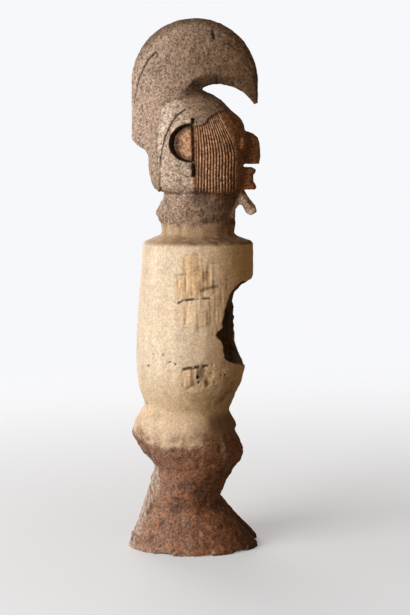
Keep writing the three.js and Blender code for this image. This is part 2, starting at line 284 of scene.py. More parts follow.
def side_rings(rows, power=2.0, sides=LOFT_SIDES):
    """Rings between back and front side-view points: columns back f, back z, front f, front z, half width."""
    back_f, back_z, front_f, front_z, half = (rows[:, k, None] for k in range(5))
    turn = 2 * np.pi * (np.arange(sides) + 0.5) / sides
    along = (1 + signed_power(np.cos(turn), 2 / power)) / 2
    across = half * signed_power(np.sin(turn), 2 / power)
    return np.stack([across, mix(back_f, front_f, along), mix(back_z, front_z, along)], -1)


def level_rings(rows, power, sides=LOFT_SIDES, back=None):
    """Level rings: columns height, back f, front f, half width. A fixed back may replace the column."""
    rows = np.asarray(rows, float)
    if back is not None:
        rows = np.insert(rows, 1, back, axis=1)
    height, behind, front, half = rows.T
    return side_rings(np.stack([behind, height, front, height, half], -1), power, sides)


class Region:
    """A box of the sculpting grid, with the coordinates of its points."""

    def __init__(self, low, high):
        self.start = np.floor(np.array(low, float) / VOXEL).astype(int)
        stop = np.ceil(np.array(high, float) / VOXEL).astype(int)
        self.shape = tuple(int(n) for n in stop - self.start)
        x, f, z = (((self.start[k] + np.arange(self.shape[k])) * VOXEL).astype(np.float32) for k in range(3))
        self.x = x[:, None, None]
        self.f = f[None, :, None]
        self.z = z[None, None, :]

    def corner(self, end):
        """The low or the high corner, in millimetres."""
        return (self.start + end * (np.array(self.shape) - 1)) * VOXEL

    def part(self, volume, other):
        """The part of this region's volume that another region covers."""
        a = other.start - self.start
        return volume[tuple(slice(a[k], a[k] + other.shape[k]) for k in range(3))]


def field(solid, region):
    """Signed distances to a solid, negative inside, limited to the band."""
    points, quads, fans = solid
    grid = openvdb.FloatGrid.createLevelSetFromPolygons(
        points.astype(np.float32),
        triangles=fans.astype(np.uint32),
        quads=quads.astype(np.uint32),
        transform=openvdb.createLinearTransform(voxelSize=VOXEL),
        halfWidth=BAND / VOXEL,
    )
    distances = np.empty(region.shape, np.float32)
    grid.copyToArray(distances, ijk=tuple(int(v) for v in region.start))
    return distances


def join(a, b, fillet):
    blend = np.maximum(fillet - np.abs(a - b), 0)
    return np.minimum(a, b) - blend * blend / (4 * fillet)


def cut(a, b, rounding):
    return -join(-a, b, rounding)


def noise(x, y, z, size, seed):
    """Smooth random values between -1 and 1, with bumps about one size across."""
    coordinates = [np.asarray(v, np.float32) / size + 57.31 * (seed + 1) * (k + 1) for k, v in enumerate((x, y, z))]
    cells = [np.floor(v) for v in coordinates]
    weights = []
    for value, cell in zip(coordinates, cells):
        t = value - cell
        weights.append(t * t * t * (t * (t * 6 - 15) + 10))
    corners = [cell.astype(np.int64) for cell in cells]
    total = 0
    for dx in (0, 1):
        for dy in (0, 1):
            for dz in (0, 1):
                mixed = (corners[0] + dx) * 73856093 ^ (corners[1] + dy) * 19349663 ^ (corners[2] + dz) * 83492791
                mixed = (mixed ^ (seed * 2654435761)) & 0xFFFFFFFF
                mixed = ((mixed ^ (mixed >> 15)) * 2246822519) & 0xFFFFFFFF
                mixed = ((mixed ^ (mixed >> 13)) * 3266489917) & 0xFFFFFFFF
                value = ((mixed ^ (mixed >> 16)) & 0xFFFF).astype(np.float32) / 32767.5 - 1
                weight = 1
                for w, d in zip(weights, (dx, dy, dz)):
                    weight = weight * (w if d else 1 - w)
                total = total + weight * value
    return total


def layered(x, y, z, size, seed, octaves=3, fade=0.5):
    """Noise summed over sizes that halve each time."""
    total, strength, whole = 0, 1.0, 0
    for octave in range(octaves):
        total = total + strength * noise(x, y, z, size / 2**octave, seed + 31 * octave)
        whole += strength
        strength *= fade
    return total / whole


def line_distance(f, z, path):
    """Distance in side view to a line through the points of a path."""
    best = np.full(np.broadcast(f, z).shape, 1e3, np.float32)
    for (f0, z0), (f1, z1) in zip(path, path[1:]):
        df, dz = f1 - f0, z1 - z0
        t = np.clip(((f - f0) * df + (z - z0) * dz) / (df * df + dz * dz), 0, 1)
        best = np.minimum(best, np.hypot(f - f0 - t * df, z - z0 - t * dz))
    return best


def outline_distance(f, z, outline):
    """Signed distance in side view to a closed outline, positive inside."""
    closed = [*outline, outline[0]]
    inside = np.zeros(np.broadcast(f, z).shape, bool)
    for (f0, z0), (f1, z1) in zip(closed, closed[1:]):
        if z0 != z1:
            crosses = (z0 > z) != (z1 > z)
            inside ^= crosses & (f < f0 + (z - z0) * (f1 - f0) / (z1 - z0))
    return np.where(inside, 1, -1) * line_distance(f, z, closed)


def body_solid():
    rows = []
    for back_f, back_z, front_f, front_z, half in LEGS:
        stretch = 0.5 / math.sqrt(1 - (LEG_SPINE / half) ** 2)
        a, b = 0.5 - stretch, 0.5 + stretch
        rows.append(
            (mix(back_f, front_f, a), mix(back_z, front_z, a), mix(back_f, front_f, b), mix(back_z, front_z, b), half)
        )
    return loft(side_rings(smooth_rows(rows + TRUNK, corners=BODY_CORNERS)))


def leg_gap_solids():
    """The gap between the legs, and the flares that open it to the front and the back."""
    end = 80.0
    below = -3.0
    gap = [(below, LEG_GAP), (58, LEG_GAP), (80, LEG_GAP - 2.2), (94, 1.6)]
    rings = [[(-w, -end, z), (w, -end, z), (w, end, z), (-w, end, z)] for z, w in gap]
    yield loft(np.array(rings))
    depth, clear = 9.0, 3.0
    for column, forward in ((0, -1), (2, 1)):
        rings = []
        for row in LEGS:
            f, z = row[column], row[column + 1]
            z = below if row is LEGS[0] else z
            half = LEG_SPINE * (0.25 if row is LEGS[-1] else 1) * (depth + clear) / depth
            outside = f + forward * clear
            rings.append([(0, f - forward * depth, z), (half, outside, z), (-half, outside, z)])
        yield loft(np.array(rings))


def hollow_solid():
    rows = smooth_rows(HOLLOW)
    f, low, high, right, left = (rows[:, k, None] for k in range(5))
    turn = 2 * np.pi * np.arange(LOFT_SIDES) / LOFT_SIDES
    across = (1 + signed_power(np.cos(turn), 0.75)) / 2
    up = (1 + signed_power(np.sin(turn), 0.75)) / 2
    rings = np.stack([mix(right, left, across), f + 0 * across, mix(low, high, up)], -1)
    return loft(rings)


def hollow_field(region):
    """The broken belly hollow: an uneven bowl, open as far back as its rim on either side."""
    x, f, z = region.x, region.f, region.z
    ragged = 0.9 * noise(x * 0, f * 0, z, 4, 12) + 0.5 * noise(x, f * 0, z, 2, 13)
    right, left = (np.interp(z, *np.array(rim).T) for rim in (RIM_RIGHT, RIM_LEFT))
    behind_right = right + ragged - 0.9 * np.maximum(0, x + 47)
    behind_left = left + ragged - 6 * np.maximum(0, 34 - x)
    rim = mix(behind_right, behind_left, ramp(-10, 25, x))
    slope = np.abs(np.gradient(mix(right, left, 0.5).ravel(), VOXEL))
    rim_field = (rim - f) / np.sqrt(1 + np.minimum(slope, 4) ** 2)
    bowl = field(hollow_solid(), region) + 1.5 * layered(x, f, z * 0.6, 9, 11)
    wider = 4 * (ramp(-15, -35, x) + ramp(34, 40, x))
    return np.maximum(bowl - wider, rim_field)


def crest_outer(degrees):
    """The crest's outer edge: an arc that runs on straight down at both ends."""
    inside = np.clip(degrees, 0, 180)
    over = np.abs(degrees - inside)
    point = on_arc(CREST_CENTRE, CREST_RADIUS, inside)
    point[:, 1] -= CREST_RADIUS * np.radians(over)
    return point


def crest_solid():
    root = 0.56
    count = 90
    t = np.linspace(0.02, 1, count)
    hook = np.concatenate(
        [crest_outer(mix(-21, 115, t)), on_arc(HOOK_CENTRE, HOOK_RADIUS, mix(30, 119, t)), t[:, None] * root], 1
    )
    buried = [(3.1, 451.8), (-3, 442), (-8, 434), (-13, 426), (-17, 417), (-20, 408), (-22, 399)]
    turns = np.array([115, 130, 146, 163, 180, 204, 231.0])
    behind = np.concatenate([crest_outer(turns), buried, np.linspace(root, 1, len(turns))[:, None]], 1)
    behind = smooth_rows(behind)
    end = np.array([[-55.8, 398, -24, 385, 1]])
    rows = np.concatenate([hook, behind[1:], end])
    outer, inner, along = rows[:, 0:2], rows[:, 2:4], rows[:, 4]
    length = np.linalg.norm(outer - inner, axis=1)
    swell = np.sin(np.pi / 2 * np.minimum(1, along / 0.5))
    band = np.minimum(length * 0.35, mix(16, 5, np.clip((along - 0.6) / 0.4, 0, 1)))
    ridge_half = mix(1.2, 3, swell)
    band_half = mix(2.2, 12.5, swell)
    flank_half = mix(2.4, mix(15, 27, np.clip((along - 0.35) / 0.4, 0, 1)), swell)
    heights = np.stack([length, length - 0.45 * band, length - band, 0.42 * length, 0.14 * length, 0 * length], 1)
    halves = np.stack(
        [
            ridge_half,
            mix(ridge_half, band_half, 0.6),
            band_half,
            mix(band_half, flank_half, 0.45),
            0.97 * flank_half,
            0.6 * flank_half,
        ],
        1,
    )
    share = (heights / length[:, None])[:, :, None]
    place = mix(inner[:, None, :], outer[:, None, :], share)
    right = np.concatenate([-halves[:, :, None], place], 2)
    left = np.concatenate([halves[:, :, None], place], 2)[:, ::-1]
    return loft(np.concatenate([right, left], 1))


def cheek_ridges(f, z):
    """In side view: how deep the cheek lines run, 0 to 1, where there are any, and where the hair is."""
    hair = [(60, 475), *HAIRLINE, *BEHIND_EAR, (-60, 343), (-60, 475)]
    raised = ramp(-0.7, 0.7, outline_distance(f, z, hair))
    fan = np.array(RIDGE_FAN)
    wobble = 0.14 * noise(f * 0, f, z, 14, 3)
    share = (f - CHEEK_START) / (np.interp(z, fan[:, 0], fan[:, 1]) - CHEEK_START)
    turns = (share - CHEEK[0]) / (CHEEK[1] - CHEEK[0]) * RIDGES + wobble
    groove = (0.5 + 0.5 * np.cos(2 * np.pi * turns)) ** 0.8
    cheek = ramp(0, 0.3, turns) * ramp(0, 0.3, RIDGES - turns) * ramp(JAW_LINE - 3, JAW_LINE + 2, z)
    return groove, cheek * (1 - raised), raised


def skull_field(region):
    """The head, with its raised hair and the upright lines of the cheeks."""
    skull = field(loft(level_rings(smooth_rows(SKULL), SKULL_POWER)), region)
    groove, cheek, raised = cheek_ridges(region.f, region.z)
    return skull - HAIR_RISE * raised * ramp(36, 27, region.f) + RIDGE_DEPTH * groove * cheek


def ear_cut_and_add(region, head):
    """Half-round ears with a deep groove round a raised floor, and a slot before each."""
    f, z = region.f, region.z
    x = np.abs(region.x)
    behind = f - EAR_FRONT
    outline = np.maximum((np.hypot(behind / 24.6, (z - EAR_HEIGHT) / 28) - 1) * 24.6, behind)
    head = join(head, join_max(outline, x - EAR_FACE, 2.0), 1.0)
    bowl = np.hypot((behind + 1) / 21.6, (z - BOWL_HEIGHT) / 18.6)
    floor = np.hypot((behind + 1) / 17, (z - BOWL_HEIGHT + 0.5) / 16.6)
    depth = mix(9.5, mix(5.5, 3.5, ramp(-16, -3, f)), ramp(1.04, 0.95, floor))
    depth = depth + 0.8 * ramp(0.95, 0.8, floor)
    sunk = np.maximum((bowl - 1) * 18.6, EAR_FACE - depth - x)
    head = cut(head, np.maximum(sunk, behind + 0.6), 0.5)
    slot = np.maximum(np.abs(f + 0.2 - 0.012 * (EAR_HEIGHT - z)) - 1.5, np.abs(z - EAR_HEIGHT) - 27.4)
    return cut(head, np.maximum(slot, 37 - x), 0.8)


def join_max(a, b, rounding):
    """The overlap of two fields, with a rounded edge."""
    return -join(-a, -b, rounding)


def ellipsoid_field(region, centre, radii):
    x = (np.abs(region.x) - centre[0]) / radii[0]
    f = (region.f - centre[1]) / radii[1]
    z = (region.z - centre[2]) / radii[2]
    return (np.sqrt(x * x + f * f + z * z) - 1) * min(radii)


def face_field(region, head):
    nose = [
        (379.5, 64.2, 9.5),
        (392, 65.2, 9.3),
        (399, 64.5, 8.4),
        (404.5, 63, 7.2),
        (409.5, 57, 6),
        (411.5, 50.5, 4.8),
    ]
    mouth = [
        (354.5, 60, 12.4),
        (356.8, 61.3, 13),
        (359.5, 60.6, 13),
        (362, 58.8, 12.6),
        (368.5, 58.8, 12.6),
        (370.5, 60.6, 13),
        (373, 61.3, 13),
        (376, 57, 12),
    ]
    beard = [
        (39, 351, 46, 358, 12.5),
        (43.5, 345.5, 51, 351.5, 13),
        (47.5, 338, 56, 343, 13.5),
        (52, 331.8, 61, 336, 13),
        (54.8, 330, 61.6, 333.2, 11.5),
    ]
    inside = 42.0
    head = join(head, field(loft(level_rings(smooth_rows(nose, 1.0), 3.2, 120, inside)), region), 2.0)
    head = join(head, field(loft(level_rings(smooth_rows(mouth, 1.0), 3.0, 120, inside)), region), 1.2)
    head = join(head, field(loft(side_rings(smooth_rows(beard, 1.0), 3.0, 120)), region), 1.0)
    web = [(36, 353), (36, 333), (41, 335.5), (48, 343), (48, 353)]
    web_field = np.maximum(-outline_distance(region.f, region.z, web), np.abs(region.x) - 9)
    head = join(head, web_field, 3.0)
    head = join(head, ellipsoid_field(region, (17, 46.2, 398.6), (10.5, 5.2, 8.6)), 0.4)
    slit = np.maximum(np.abs(region.z - 397.2) - 0.7, np.abs(np.abs(region.x) - 17) - 9)
    return cut(head, np.maximum(slit, 48.6 - region.f), 0.6)


def sculpt():
    whole = Region((-60, -68, -2.6), (60, 68, 523))
    lower = Region((-60, -68, -2.6), (60, 68, 362))
    upper = Region((-60, -68, 326), (60, 68, 523))
    volume = np.full(whole.shape, BAND, np.float32)

    body = field(body_solid(), lower)
    wedge = [(136.5, 34.5, 2.5), (129, 38.5, 4.8), (119.5, 42.4, 5.8), (114, 39.6, 4.2)]
    body = join(body, field(loft(level_rings(smooth_rows(wedge, 1.0), 2.0, 80, 28)), lower), 1.5)
    for solid in leg_gap_solids():
        body = cut(body, field(solid, lower), 1.0)
    belly = Region((-60, -4, 156), (60, 67, 280))
    x, f, z = belly.x, belly.f, belly.z
    block = lower.part(body, belly)
    plain = block.copy()
    block[:] = cut(block, hollow_field(belly), 0.5)
    whole.part(volume, lower)[:] = body

    head = skull_field(upper)
    head = join(head, field(crest_solid(), upper), 2 + 7 * ramp(5, 13, np.abs(upper.x)))
    head = ear_cut_and_add(upper, head)
    head = face_field(upper, head)
    target = whole.part(volume, upper)
    target[:] = join(target, head, 0.8)
    return whole, np.clip(volume, -BAND, BAND), belly, plain


def surface(region, volume):
    """Points and outward quads where the field is zero."""
    grid = openvdb.FloatGrid(BAND)
    grid.copyFromArray(volume, ijk=tuple(int(v) for v in region.start), tolerance=0.0)
    grid.transform = openvdb.createLinearTransform(voxelSize=VOXEL)
    points, _, quads = grid.convertToPolygons(isovalue=0.0, adaptivity=0.0)
    return points.astype(np.float64), quads.astype(np.int64)


def sample(region, volume, points):
    """Values of a volume at points, blended from the eight grid points around each."""
    place = points / VOXEL - region.start
    cell = np.clip(np.floor(place).astype(int), 0, np.array(region.shape) - 2)
    t = np.clip(place - cell, 0, 1).astype(np.float32)
    total = 0
    for dx in (0, 1):
        for dy in (0, 1):
            for dz in (0, 1):
                weight = 1
                for axis, d in enumerate((dx, dy, dz)):
                    weight = weight * (t[:, axis] if d else 1 - t[:, axis])
                total = total + weight * volume[cell[:, 0] + dx, cell[:, 1] + dy, cell[:, 2] + dz]
    return total


def box_blur(volume, reach):
    """The mean over a cube reaching this many millimetres each way."""
    steps = max(1, round(reach / VOXEL))
    for axis in range(3):
        padding = [(steps + 1, steps) if k == axis else (0, 0) for k in range(3)]
        total = np.cumsum(np.pad(volume, padding, mode="edge"), axis=axis, dtype=np.float32)
        size = volume.shape[axis]
        upper = np.take(total, range(2 * steps + 1, 2 * steps + 1 + size), axis=axis)
        lower = np.take(total, range(0, size), axis=axis)
        volume = (upper - lower) / (2 * steps + 1)
    return volume


def vertex_normals(points, quads):
    diagonals = points[quads[:, 2]] - points[quads[:, 0]], points[quads[:, 3]] - points[quads[:, 1]]
    facing = np.cross(*diagonals)
    normals = np.stack(
        [np.bincount(quads.ravel(), np.repeat(facing[:, k], 4), len(points)) for k in range(3)], -1
    )
    return normals / np.maximum(np.linalg.norm(normals, axis=1, keepdims=True), 1e-9)


class Traces:
    """What age and use have left on the surface, at given points of it."""

    def __init__(self, points, normals):
        self.x, self.f, self.z = x, f, z = points.T.astype(np.float32)
        self.side = ramp(0.3, 0.65, np.abs(normals[:, 0]))
        self.uneven = layered(x, f, z, 14, 21)
        self.lumps = layered(x, f, z, 7, 27, 2)
        self.fine = layered(x, f, z, 3.4, 22, 2)
        self.fibres = 0.6 * noise(x, f, z / 9, 1.9, 23) + 0.4 * noise(x, f, z / 5, 3.6, 24)
        self.ragged = ragged = 2.0 * noise(x, f, z, 5, 25) + 1.2 * noise(x, f, z / 3, 2, 26)
        self.crusted = ramp(-1.0, 2.5, z - 319 + 3 * self.uneven + 1.5 * ragged)
        hem = np.interp(f, [-55, -30, 20, 42], [117, 110, 111, 114])
        bands = 5 * noise(x / 3, f / 3, z, 4, 32)
        self.red = ramp(9, -7, z - hem + 3 * self.uneven + 2 * ragged + bands)
        self.torso = self.side * ramp(148, 153, z) * ramp(302, 298, z)
        self.upper = self.torso * ramp(-1.5, 2, outline_distance(f, z, SCAR_UPPER) + 1.3 * ragged)
        self.middle = self.torso * ramp(-0.8, 0.8, outline_distance(f, z, SCAR_MIDDLE) + 0.4 * ragged)
        self.lower = self.torso * ramp(-2, 2, outline_distance(f, z, SCAR_LOWER) + 2 * ragged)
        frayed = self.torso * ramp(-4, 4, outline_distance(f, z, FRAYED) + 2 * ragged)
        self.frayed = np.maximum(np.maximum(self.upper, frayed), np.maximum(self.middle, self.lower))
        chips = noise(x, f, 0 * z, 9, 30) + 0.5 * noise(x, f, z, 4, 31)
        self.chipped = ramp(0.1, 0.7, chips) * ramp(6.5, 1.0, z)

    def line(self, path, width, where=1.0):
        distance = line_distance(self.f + 0.2 * self.ragged, self.z + 0.2 * self.ragged, path)
        return ramp(width, 0.25 * width, distance) * where * self.side

    def cuts(self):
        """Lines, cracks and pits, each as a strength between 0 and 1 and a depth."""
        crest = ramp(430, 436, self.z)
        broken = ramp(-0.9, 0.3, noise(self.x, self.f, self.z, 4, 33))
        yield self.line(CREST_LINE_BACK, 1.1), 0.9
        yield self.line(CREST_LINE_TOP, 0.9) * 0.3, 0.9
        yield self.line(CREST_LINE_FRONT, 0.9) * 0.8, 0.7
        yield self.line(CREST_NOTCH, 2.0, crest), 1.8
        yield self.line(NECK_CREASE, 1.8) * 0.35, 1.2
        yield self.line(BEHIND_EAR[:-1], 1.1) * broken * 0.8, 0.6
        yield self.line(LEDGE, 1.5) * broken, 1.3
        yield self.line(UPPER_CUT, 1.0) * 0.5 * broken, 0.8
        yield self.line(SCAR_LOWER_EDGE, 2.2) * 0.85 * broken, 1.3
        yield self.line(BLOTCH, 2.4) * 0.5 * broken, 0.9
        for path in SCRATCHES:
            yield self.line(path, 0.7) * 0.4, 0.5
        for f, z, radius, depth in PITS:
            away = np.hypot(self.f - f, self.z - z) + 0.3 * self.fine
            yield ramp(1.4 * radius, 0.5 * radius, away) * self.torso, depth

    def height(self):
        """How far the surface stands out from the plain form."""
        x, f, z = self.x, self.f, self.z
        rough = np.maximum(self.crusted, self.red)
        height = 0.45 * self.uneven + (0.1 + 0.25 * rough) * self.fine
        height += (0.12 + 0.4 * self.crusted + 0.85 * self.red) * self.lumps
        height += 0.25 * (1 - rough) * noise(x, f, z / 6, 6, 28)
        height += 0.9 * ramp(0, 20, f) * ramp(195, 180, z) * ramp(135, 145, z) * layered(x, f, z, 8, 34, 2)
        neck = ramp(312, 320, z) * ramp(352, 346, z)
        height += 0.8 * neck * noise(x, f, z * 2.5, 9, 29)
        height += 0.55 * self.frayed * self.fibres
        height += 0.4 * self.middle - 0.5 * self.upper - 0.7 * self.lower
        for strength, depth in self.cuts():
            height -= strength * depth
        return height - 2.6 * self.chipped


def tint(base, colour, amount):
    """The base colours drawn towards a colour by an amount between 0 and 1."""
    return base + (np.asarray(colour, np.float32) - base) * np.clip(amount, 0, 1)[:, None]


def across(f, back, middle, front):
    """A colour for every place from the back of the figure to its front, with painted light and shade: paler on the
    lit back, darker and warmer on the shaded front.
    """
    stops = zip(back, middle, front)
    return np.stack([np.interp(f, (-52, 0, 50), stop) for stop in stops], -1).astype(np.float32)


def clay_colours(traces, normals):
    x, f, z = traces.x, traces.f, traces.z
    mottle = layered(x, f, z, 12, 41, 4, 0.6)
    streak = noise(x, f, z / 7, 5, 42)
    speckle = layered(x, f, z, 4.5, 43, 3, 0.7)
    # Painted light and shade over the clay's tone: paler on the lit back, darker on the shaded front.
    base = across(f, (0.71, 0.56, 0.40), (0.64, 0.48, 0.325), (0.56, 0.34, 0.15))
    low = across(f, (0.66, 0.48, 0.31), (0.50, 0.33, 0.18), (0.46, 0.28, 0.12))
    base = base + (low - base) * ramp(190, 140, z + 8 * mottle)[:, None]
    base = tint(base, (0.60, 0.43, 0.28), 0.7 * ramp(140, 130, z) * ramp(15, 0, f))
    base = tint(base, (0.13, 0.06, 0.03), 0.75 * ramp(140, 130, z) * ramp(8, 22, f + 6 * mottle))
    base = tint(base, 0.72 * base, ramp(0.0, 0.7, mottle) * 0.7)
    base = tint(base, 1.14 * base, ramp(0.1, 0.6, streak) * 0.6)
    base = tint(base, 0.55 * base, ramp(0.2, 0.8, speckle) * 0.6 * ramp(225, 160, z))
    # The neck's colour, with painted light and shade from the lit back to the shaded front.
    neck = across(f, (0.50, 0.33, 0.19), (0.27, 0.165, 0.085), (0.17, 0.08, 0.03))
    slope = ramp(0.25, 0.7, normals[:, 2]) * ramp(295, 303, z)
    shoulder = np.maximum(slope, ramp(304, 309, z))
    base = base + (neck - base) * (shoulder * (0.9 + 0.3 * streak))[:, None]
    scar = tint(base, (0.70, 0.43, 0.215), np.full(len(x), 0.8))
    scar = tint(scar, 0.6 * scar, ramp(0.0, -0.6, traces.fibres) * 0.75)
    scar = tint(scar, (0.84, 0.63, 0.40), ramp(0.15, 0.7, traces.fibres) * 0.7)
    orange = np.maximum(np.maximum(traces.upper, 0.45 * traces.middle), 0.8 * traces.lower)
    base = base + (scar - base) * orange[:, None]
    frayed = traces.frayed * (1 - orange)
    base = tint(base, 0.62 * base, frayed * ramp(0.0, -0.5, traces.fibres) * 0.8)
    return tint(base, (0.78, 0.58, 0.36), frayed * ramp(0.2, 0.6, traces.fibres) * 0.6)


def head_colours(traces):
    x, f, z = traces.x, traces.f, traces.z
    mottle = layered(x, f, z, 9, 44, 3, 0.6)
    side = traces.side
    # The head's colour, with painted light and shade: paler on the lit back, darker on the shaded front.
    base = across(f, (0.37, 0.255, 0.185), (0.235, 0.15, 0.095), (0.115, 0.058, 0.025))
    # Painted shade: the crest's upward-facing top edge is darker, turned from the low window light.
    edge = np.hypot(f - CREST_CENTRE[0], z - CREST_CENTRE[1]) - CREST_RADIUS
    base = tint(base, (0.085, 0.043, 0.02), 0.75 * ramp(-9, -2, edge) * ramp(470, 500, z))
    # Painted shade under the hook.
    hook = np.hypot(f - HOOK_CENTRE[0], z - HOOK_CENTRE[1]) - HOOK_RADIUS
    hook_underside_shade = ramp(13, 2, hook) * ramp(440, 447, z) * ramp(-14, -4, f) * ramp(50, 25, f)
    base = tint(base, (0.06, 0.028, 0.014), 0.7 * hook_underside_shade)
    band = ramp(-1.5, 1.5, outline_distance(f, z, [*NECK_CREASE, *BEHIND_EAR[-2::-1]]))
    base = tint(base, (0.50, 0.375, 0.285), 0.85 * band * side)
    groove, cheek, raised = cheek_ridges(f, z)
    skin = (1 - raised) * ramp(347, 352, z) * ramp(436, 432, z)
    behind = skin * ramp(1, -1.5, f) * side
    base = tint(base, (0.46, 0.335, 0.245), 0.9 * behind)
    front = skin * ramp(-1, 1, f)
    base = tint(base, (0.22, 0.09, 0.035), 0.95 * front)
    # Painted highlight on the ridge tops of the cheeks, and painted shade in the grooves between them.
    lit = front * side * cheek * ramp(52, 44, f)
    base = tint(base, (0.50, 0.27, 0.145), lit * ramp(0.6, 0.1, groove))
    base = tint(base, (0.12, 0.05, 0.02), lit * ramp(0.5, 0.95, groove))
    # Painted shade darkens the ear bowl; its floor is lighter towards the front, which leaves a painted shadow of the
    # rim at the back.
    ear = np.hypot((f - EAR_FRONT + 1) / 21.6, (z - BOWL_HEIGHT) / 18.6)
    bowl = ramp(1.04, 0.98, ear) * ramp(0, -1, f) * side
    base = tint(base, (0.12, 0.055, 0.03), 0.9 * bowl)
    floor = np.hypot((f - EAR_FRONT + 1) / 16, (z - BOWL_HEIGHT + 0.5) / 15.6)
    base = tint(base, (0.42, 0.22, 0.12), bowl * ramp(1.0, 0.75, floor) * ramp(-19, -8, f))
    lip = ramp(361, 357, z) * ramp(352, 355, z) * ramp(47, 51, f)
    base = tint(base, (0.42, 0.10, 0.035), 0.8 * lip)
    beard = ramp(351, 347, z) * ramp(40, 44, f + 0.55 * (348 - z) - 3) * ramp(325, 328, z)
    base = tint(base, (0.50, 0.33, 0.235), 0.9 * beard)
    # Painted shadow under the jaw.
    under_jaw_shadow = ramp(12, 4, np.hypot((f - 6) * 0.8, z - 349))
    base = tint(base, (0.07, 0.035, 0.025), 0.75 * under_jaw_shadow * side)
    base = tint(base, 0.55 * base, ramp(0.1, 0.6, mottle) * 0.55)
    return tint(base, 1.3 * base, ramp(0.1, 0.6, -mottle) * 0.5)


def leg_colours(traces, normals):
    x, f, z = traces.x, traces.f, traces.z
    mottle = layered(x, f, z, 13, 45, 4, 0.6)
    speckle = layered(x, f, z, 5, 46, 3, 0.7)
    # The legs' colour, with painted light and shade: paler on the lit back, darker on the shaded front.
    base = across(f, (0.26, 0.14, 0.09), (0.20, 0.085, 0.042), (0.16, 0.055, 0.02))
    base = tint(base, (0.07, 0.038, 0.028), ramp(0.05, 0.5, mottle) * 0.8)
    base = tint(base, (0.37, 0.14, 0.05), ramp(0.15, 0.6, speckle) * 0.8)
    base = tint(base, (0.30, 0.20, 0.14), ramp(0.15, 0.6, -mottle) * 0.55)
    # Painted light: the back-facing lower legs, turned to the window, are paler.
    base = tint(base, (0.44, 0.35, 0.28), 0.85 * ramp(-0.72, -0.93, normals[:, 1]) * ramp(100, 90, z))
    # Painted shade on the front of the feet, turned from the window.
    return tint(base, (0.05, 0.025, 0.008), 0.6 * ramp(25, 55, f) * ramp(50, 30, z))


def colours(traces, normals, cavity, within):
    """Linear colour at every point, and how strongly it is grained there."""
    base = clay_colours(traces, normals)
    base += (head_colours(traces) - base) * traces.crusted[:, None]
    base += (leg_colours(traces, normals) - base) * traces.red[:, None]
    # Painted shade in the cut lines, cracks and pits, darker where they run deeper.
    for strength, depth in traces.cuts():
        base = tint(base, (0.035, 0.02, 0.012), strength * min(1.0, 0.45 + 0.35 * depth))
    # Painted shade in concave places, where the blurred field shows a hollow.
    base = tint(base, (0.045, 0.025, 0.014), 0.6 * ramp(-0.25, -1.1, cavity))
    worn = ramp(0.5, 1.5, cavity) * np.maximum(traces.crusted, traces.red)
    base = tint(base, 1.6 * base, 0.5 * worn)
    base = tint(base, (0.46, 0.32, 0.23), 0.8 * traces.chipped)
    inside = ramp(-0.5, -2.2, within)
    raw = tint(base * 0 + (0.095, 0.045, 0.014), (0.03, 0.014, 0.005), ramp(0.2, -0.5, traces.fibres))
    base += (raw - base) * inside[:, None]
    grain = np.maximum(0.25, np.maximum(0.9 * traces.crusted, 0.8 * traces.red))
    return base, grain


def figure_mesh(points, quads):
    mesh = bpy.data.meshes.new("power_figure")
    mesh.vertices.add(len(points))
    scene_points = points * (1, -1, 1) * unit
    mesh.vertices.foreach_set("co", scene_points.astype(np.float32).ravel())
    mesh.loops.add(4 * len(quads))
    mesh.loops.foreach_set("vertex_index", quads[:, ::-1].astype(np.int32).ravel())
    mesh.polygons.add(len(quads))
    mesh.polygons.foreach_set("loop_start", (4 * np.arange(len(quads))).astype(np.int32))
    mesh.update(calc_edges=True)
    return mesh


def reduce(piece, triangles):
    """The piece with fewer triangles, smooth shaded."""
    count = sum(len(polygon.vertices) - 2 for polygon in piece.data.polygons)
    modifier = piece.modifiers.new("reduce", "DECIMATE")
    modifier.ratio = triangles / count
    graph = bpy.context.evaluated_depsgraph_get()
    reduced = bpy.data.meshes.new_from_object(piece.evaluated_get(graph))
    piece.modifiers.clear()
    piece.data = reduced
    reduced.shade_smooth()


def mesh_points(mesh):
    places = np.empty(3 * len(mesh.vertices), np.float32)
    mesh.vertices.foreach_get("co", places)
    normals = np.empty(3 * len(mesh.vertices), np.float32)
    mesh.vertex_normals.foreach_get("vector", normals)
    flip = np.array((1, -1, 1), np.float32)
    return places.reshape(-1, 3) * flip / unit, normals.reshape(-1, 3) * flip


def node(tree, kind, inputs, **settings):
    made = tree.nodes.new(kind)
    for name, value in settings.items():
        setattr(made, name, value)
    for name, value in inputs.items():
        if isinstance(value, bpy.types.NodeSocket):
            tree.links.new(value, made.inputs[name])
        else:
            made.inputs[name].default_value = value
    return made


def blended(tree, factor, first, second, kind="MIX"):
    made = node(tree, "ShaderNodeMix", {0: factor, 6: first, 7: second}, data_type="RGBA", blend_type=kind)
    return made.outputs[2]


def spread(tree, value, low, high, bottom=0.0, top=1.0):
    spans = {"Value": value, "From Min": low, "From Max": high, "To Min": bottom, "To Max": top}
    return node(tree, "ShaderNodeMapRange", spans, interpolation_type="SMOOTHSTEP").outputs[0]


